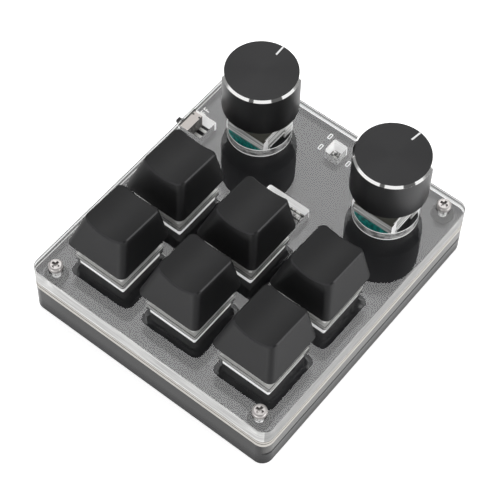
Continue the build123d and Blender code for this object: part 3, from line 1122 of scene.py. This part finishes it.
def lightLens(look, low, high):
    middle = (low + high) / 2
    turns = [2 * math.pi * i / look["lensSides"] for i in range(look["lensSides"])]
    dome = []
    for step in range(look["lensSteps"]):
        angle = math.pi / 2 * step / look["lensSteps"]
        radius = look["lensShare"] * look["well"] * math.cos(angle)
        z = high.z - look["wellDeep"] + look["lensRise"] * math.sin(angle)
        dome.append([(middle.x + radius * math.cos(a), middle.y + radius * math.sin(a), z) for a in turns])
    shape = bmesh.new()
    addLoops(shape, dome)
    for face in shape.faces:
        face.smooth = True
    addPiece("status_light_lens", shape, "case", "light_white", mottled("light_lens", **look["lens"]))


def lightFeet(look, low, high):
    middle = (low + high) / 2
    long, deep, tall = look["foot"]
    shape = bmesh.new()
    for right, back in ((-1, -1), (1, -1), (1, 1)):  # none at the cut corner
        across = middle.x + right * (high.x - middle.x - deep / 2)
        along = middle.y + back * look["footInset"]
        outline = roundedOutline((across, along), look["footOver"] * deep, long, look["footRadius"])
        addPrism(shape, outline, low.z, low.z + tall)
    addPiece("status_light_feet", shape, "case", "case_steel", plated("light_tin", **look["tin"]))


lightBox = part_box("status_light")
lightCup(light, *lightBox)
lightLens(light, *lightBox)
lightFeet(light, *lightBox)

# Threads on the screws, between the head and the board
threads = {
    "headRadius": 1.88 * mm,
    "root": 0.97 * mm,
    "crest": 1.09 * mm,
    "pitch": 0.6 * mm,
    "profile": [("root", 0), ("crest", 0.4), ("crest", 0.5), ("root", 0.9)],  # shares of the pitch
    "steps": 20,
    "start": 0.1 * mm,
    "turnsLess": 1.2,
    "steel": {"dark": (0.1, 0.1, 0.1), "pale": (0.5, 0.49, 0.48), "rough": 0.36, "size": 0.3 * mm},
}


def screwThreads(look):
    low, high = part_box("top_plate")
    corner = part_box("plate_screws")[1]
    x = corner.x - look["headRadius"]
    y = corner.y - look["headRadius"]
    pitch = look["pitch"]
    count = int(((high.z - low.z) / pitch - look["turnsLess"]) * look["steps"])
    shape = bmesh.new()
    for right, back in ((-1, -1), (-1, 1), (1, -1), (1, 1)):
        loops = []
        for i in range(count + 1):
            angle = 2 * math.pi * i / look["steps"]
            z = low.z + look["start"] + pitch * i / look["steps"]
            outline = [(look[name], z + share * pitch) for name, share in look["profile"]]
            loops.append(
                [(right * x + r * math.cos(angle), back * y + r * math.sin(angle), h) for r, h in outline]
            )
        addLoops(shape, loops)
    bmesh.ops.recalc_face_normals(shape, faces=shape.faces)
    addPiece("screw_threads", shape, "case", "screw_steel", mottled("thread_steel", **look["steel"]))


screwThreads(threads)

# Folded edges and a lower rail on the encoder covers, in near-white as painted highlight
folds = {
    "thick": 0.42 * mm,
    "deckAbove": 1.5 * mm,  # the cover's deck, above the base
    "fold": (0, 0.42 * mm, 0.2 * mm, 4.9 * mm),  # depth below the deck, height, corner radius, half length
    "rail": (4.5 * mm, 0.4 * mm, 0.15 * mm, 3.0 * mm),
    # near-white and not metal: painted highlight on the folds and rail
    "steel": {"colour": (0.9, 0.9, 0.89), "rough": 0.25},
}


def encoderFolds(look, side):
    low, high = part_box(f"encoder_cover_{side}")
    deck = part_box(f"encoder_base_{side}")[1].z + look["deckAbove"]
    middle = (low.y + high.y) / 2
    shape = bmesh.new()
    for edge, toward in ((high.x, -1), (low.x, 1)):
        across = edge + toward * look["thick"] / 2
        for below, tall, radius, reach in (look["fold"], look["rail"]):
            outline = roundedOutline((across, deck - below), look["thick"], tall, radius)
            addPrism(shape, outline, -middle - reach, -middle + reach, alongDepth)
    addPiece(f"encoder_folds_{side}", shape, "case", "encoder_steel", moulded("fold_painted_highlight", **look["steel"]))


for side in sides:
    encoderFolds(folds, side)

# Dark sheets on the slide switch's case beside its bent tabs: painted shade for the gaps there
switchGapShade = {
    "size": (0.55 * mm, 0.45 * mm),
    "radius": 0.12 * mm,
    "thick": 0.02 * mm,
    "fromBack": 0.9 * mm,
    "dark": {"colour": (0.01, 0.01, 0.01), "rough": 0.7},
}


def paintSwitchGapShade(look):
    low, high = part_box("slide_switch_case")
    shape = bmesh.new()
    wide, long = look["size"]
    for across in (low.x + wide / 2, high.x - wide / 2):
        outline = roundedOutline((across, high.y - look["fromBack"]), wide, long, look["radius"])
        addPrism(shape, outline, high.z, high.z + look["thick"])
    addPiece("switch_case_gap_shades", shape, "case", "lever_black", moulded("gap_painted_shade", **look["dark"]))


paintSwitchGapShade(switchGapShade)

# Contacts on both faces of the charging socket's tongue
contacts = {
    "count": 12,
    "pitch": 0.5 * mm,
    "wide": 0.28 * mm,
    "long": 3.4 * mm,
    "radius": 0.1 * mm,
    "thick": 0.03 * mm,
    "fromBack": 1.6 * mm,
    "tongueHalf": 0.35 * mm,
    "gold": {"colour": (0.72, 0.5, 0.2), "rough": 0.25},
}


def socketContacts(look):
    low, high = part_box("usb_socket")
    middle = (low + high) / 2
    shape = bmesh.new()
    along = high.y - look["fromBack"] - look["long"] / 2
    for i in range(look["count"]):
        across = middle.x + (i - (look["count"] - 1) / 2) * look["pitch"]
        outline = roundedOutline((across, along), look["wide"], look["long"], look["radius"])
        for start in (look["tongueHalf"], -look["tongueHalf"] - look["thick"]):
            addPrism(shape, outline, middle.z + start, middle.z + start + look["thick"])
    addPiece("socket_contacts", shape, "case", "socket_steel", plated("contact_gold", **look["gold"]))


socketContacts(contacts)
